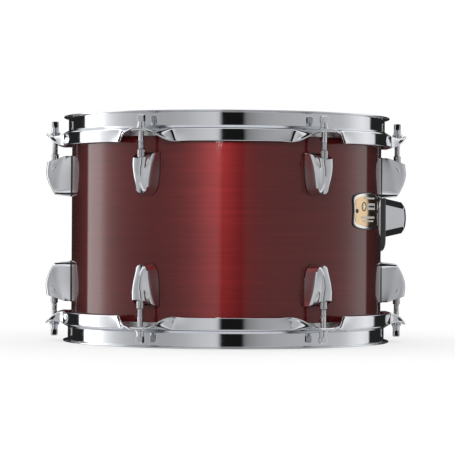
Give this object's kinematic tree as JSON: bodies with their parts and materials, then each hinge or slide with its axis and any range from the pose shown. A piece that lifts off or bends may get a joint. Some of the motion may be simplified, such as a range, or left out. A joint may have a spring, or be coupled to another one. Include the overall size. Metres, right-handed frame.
{
  "type": "tom tom drum",
  "caption": "Rack tom with lacquered wooden shell, two tensioned heads under flanged steel hoops, lugs with key-turned tension rods, a badge and a side mount for a holder rod.",
  "frame": {"origin": "centre of the ring on which the resonant hoop's lip stands, on the drum's axis", "axes": "+Z along the drum's axis towards the batter head; -Y is the front, midway between two lugs; one lug pair is at +X and one at -X; the badge is 60 degrees from the front towards +X and the side mount 15 degrees behind +X"},
  "size_m": [0.3553, 0.3208, 0.218],
  "materials": {
    "shell_wood": "high gloss see-through cherry red lacquer over fine grain",
    "coated_film": "white coated polyester film, slightly rough",
    "clear_film": "clear polyester film",
    "aluminium": "plain",
    "chrome": "polished chrome plate",
    "steel": "zinc plated",
    "black_rubber": "smooth black",
    "black_plastic": "black",
    "nylon": "natural nylon",
    "badge_metal": "pale gold with silver rim"
  },
  "bodies": {
    "drum": {"shell": "shell_wood", "batter_head_film": "coated_film", "batter_flesh_hoop": "aluminium", "batter_lug_gaskets": "black_rubber", "batter_lug_inserts": "steel", "batter_lug_screws": "steel", "batter_lug_screw_washers": "steel", "batter_lug_1": "chrome", "batter_lug_2": "chrome", "batter_lug_3": "chrome", "batter_lug_4": "chrome", "batter_lug_5": "chrome", "batter_lug_6": "chrome", "resonant_head_film": "clear_film", "resonant_flesh_hoop": "aluminium", "resonant_lug_gaskets": "black_rubber", "resonant_lug_inserts": "steel", "resonant_lug_screws": "steel", "resonant_lug_screw_washers": "steel", "resonant_lug_1": "chrome", "resonant_lug_2": "chrome", "resonant_lug_3": "chrome", "resonant_lug_4": "chrome", "resonant_lug_5": "chrome", "resonant_lug_6": "chrome", "mount_block": "chrome", "mount_isolator_pad": "black_rubber", "mount_backing_plate": "steel", "mount_screws": "steel", "badge": "badge_metal", "badge_pins": "black_plastic", "vent_grommet": "chrome", "vent_nut": "steel"},
    "batter_hoop_body": {"batter_hoop": "chrome", "batter_rod_washers": "chrome"},
    "resonant_hoop_body": {"resonant_hoop": "chrome", "resonant_rod_washers": "chrome"},
    "batter_rod_1_body": {"batter_tension_rod_1": "chrome"},
    "batter_rod_2_body": {"batter_tension_rod_2": "chrome"},
    "batter_rod_3_body": {"batter_tension_rod_3": "chrome"},
    "batter_rod_4_body": {"batter_tension_rod_4": "chrome"},
    "batter_rod_5_body": {"batter_tension_rod_5": "chrome"},
    "batter_rod_6_body": {"batter_tension_rod_6": "chrome"},
    "resonant_rod_1_body": {"resonant_tension_rod_1": "chrome"},
    "resonant_rod_2_body": {"resonant_tension_rod_2": "chrome"},
    "resonant_rod_3_body": {"resonant_tension_rod_3": "chrome"},
    "resonant_rod_4_body": {"resonant_tension_rod_4": "chrome"},
    "resonant_rod_5_body": {"resonant_tension_rod_5": "chrome"},
    "resonant_rod_6_body": {"resonant_tension_rod_6": "chrome"},
    "clamp_pad_body": {"clamp_pad": "nylon"},
    "wing_bolt_body": {"wing_bolt": "chrome"}
  },
  "joints": [
    {"name": "batter_hoop_lift", "type": "slide", "parent": "drum", "child": "batter_hoop_body", "axis": [0, 0, 1], "range_m": [0, 0.016]},
    {"name": "batter_rod_1_turn", "type": "hinge", "parent": "batter_hoop_body", "child": "batter_rod_1_body", "pos_m": [0.1675, 0, 0.199], "axis": [0, 0, 1], "range_deg": [0, 5450]},
    {"name": "batter_rod_2_turn", "type": "hinge", "parent": "batter_hoop_body", "child": "batter_rod_2_body", "pos_m": [0.08375, 0.14506, 0.199], "axis": [0, 0, 1], "range_deg": [0, 5450]},
    {"name": "batter_rod_3_turn", "type": "hinge", "parent": "batter_hoop_body", "child": "batter_rod_3_body", "pos_m": [-0.08375, 0.14506, 0.199], "axis": [0, 0, 1], "range_deg": [0, 5450]},
    {"name": "batter_rod_4_turn", "type": "hinge", "parent": "batter_hoop_body", "child": "batter_rod_4_body", "pos_m": [-0.1675, 0, 0.199], "axis": [0, 0, 1], "range_deg": [0, 5450]},
    {"name": "batter_rod_5_turn", "type": "hinge", "parent": "batter_hoop_body", "child": "batter_rod_5_body", "pos_m": [-0.08375, -0.14506, 0.199], "axis": [0, 0, 1], "range_deg": [0, 5450]},
    {"name": "batter_rod_6_turn", "type": "hinge", "parent": "batter_hoop_body", "child": "batter_rod_6_body", "pos_m": [0.08375, -0.14506, 0.199], "axis": [0, 0, 1], "range_deg": [0, 5450]},
    {"name": "resonant_hoop_lift", "type": "slide", "parent": "drum", "child": "resonant_hoop_body", "axis": [0, 0, -1], "range_m": [0, 0.016]},
    {"name": "resonant_rod_1_turn", "type": "hinge", "parent": "resonant_hoop_body", "child": "resonant_rod_1_body", "pos_m": [0.1675, 0, 0.019], "axis": [0, 0, -1], "range_deg": [0, 5450]},
    {"name": "resonant_rod_2_turn", "type": "hinge", "parent": "resonant_hoop_body", "child": "resonant_rod_2_body", "pos_m": [0.08375, 0.14506, 0.019], "axis": [0, 0, -1], "range_deg": [0, 5450]},
    {"name": "resonant_rod_3_turn", "type": "hinge", "parent": "resonant_hoop_body", "child": "resonant_rod_3_body", "pos_m": [-0.08375, 0.14506, 0.019], "axis": [0, 0, -1], "range_deg": [0, 5450]},
    {"name": "resonant_rod_4_turn", "type": "hinge", "parent": "resonant_hoop_body", "child": "resonant_rod_4_body", "pos_m": [-0.1675, 0, 0.019], "axis": [0, 0, -1], "range_deg": [0, 5450]},
    {"name": "resonant_rod_5_turn", "type": "hinge", "parent": "resonant_hoop_body", "child": "resonant_rod_5_body", "pos_m": [-0.08375, -0.14506, 0.019], "axis": [0, 0, -1], "range_deg": [0, 5450]},
    {"name": "resonant_rod_6_turn", "type": "hinge", "parent": "resonant_hoop_body", "child": "resonant_rod_6_body", "pos_m": [0.08375, -0.14506, 0.019], "axis": [0, 0, -1], "range_deg": [0, 5450]},
    {"name": "clamp_pad_slide", "type": "slide", "parent": "drum", "child": "clamp_pad_body", "axis": [-0.2588, 0.9659, 0], "range_m": [0, 0.004]},
    {"name": "wing_bolt_turn", "type": "hinge", "parent": "clamp_pad_body", "child": "wing_bolt_body", "pos_m": [0.15693, 0.07311, 0.1215], "axis": [-0.2588, 0.9659, 0], "range_deg": [0, 1160]}
  ],
  "couplings": [
    {"joint": "batter_rod_1_turn", "follows": "batter_hoop_lift", "rad_per_m": 5938.7},
    {"joint": "batter_rod_2_turn", "follows": "batter_hoop_lift", "rad_per_m": 5938.7},
    {"joint": "batter_rod_3_turn", "follows": "batter_hoop_lift", "rad_per_m": 5938.7},
    {"joint": "batter_rod_4_turn", "follows": "batter_hoop_lift", "rad_per_m": 5938.7},
    {"joint": "batter_rod_5_turn", "follows": "batter_hoop_lift", "rad_per_m": 5938.7},
    {"joint": "batter_rod_6_turn", "follows": "batter_hoop_lift", "rad_per_m": 5938.7},
    {"joint": "resonant_rod_1_turn", "follows": "resonant_hoop_lift", "rad_per_m": 5938.7},
    {"joint": "resonant_rod_2_turn", "follows": "resonant_hoop_lift", "rad_per_m": 5938.7},
    {"joint": "resonant_rod_3_turn", "follows": "resonant_hoop_lift", "rad_per_m": 5938.7},
    {"joint": "resonant_rod_4_turn", "follows": "resonant_hoop_lift", "rad_per_m": 5938.7},
    {"joint": "resonant_rod_5_turn", "follows": "resonant_hoop_lift", "rad_per_m": 5938.7},
    {"joint": "resonant_rod_6_turn", "follows": "resonant_hoop_lift", "rad_per_m": 5938.7},
    {"joint": "wing_bolt_turn", "follows": "clamp_pad_slide", "rad_per_m": 5026.5}
  ]
}
